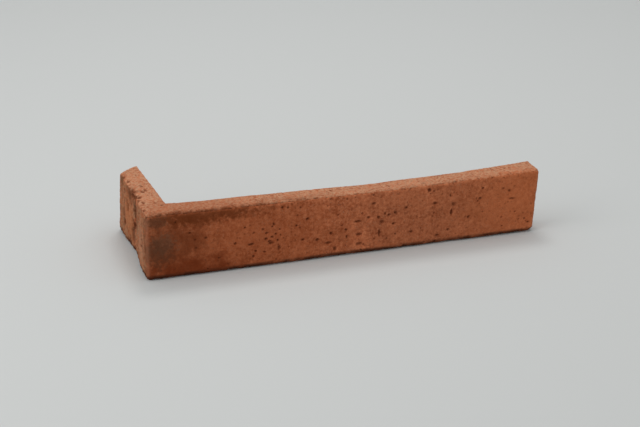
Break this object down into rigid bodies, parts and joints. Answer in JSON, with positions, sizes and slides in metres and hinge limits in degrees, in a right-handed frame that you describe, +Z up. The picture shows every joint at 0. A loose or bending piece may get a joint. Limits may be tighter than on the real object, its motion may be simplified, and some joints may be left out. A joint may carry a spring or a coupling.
{
  "type": "corner brick slip",
  "caption": "L-shaped corner brick slip of hand-moulded fired clay, with a stretcher face, a header face and flat sawn backs that wrap the arris of a wall.",
  "frame": {"origin": "middle of the footprint, on the lower bed that the slip stands on", "axes": "+X along the long leg from the outer corner to its plain end, +Y from the stretcher face to the back, +Z up through the height of the course"},
  "size_m": [0.2879, 0.092, 0.048],
  "materials": {
    "fired_clay": "matt, sandy orange-red fired clay with pits and darker fire marks"
  },
  "bodies": {
    "root": {"corner_slip": "fired_clay"}
  },
  "joints": []
}
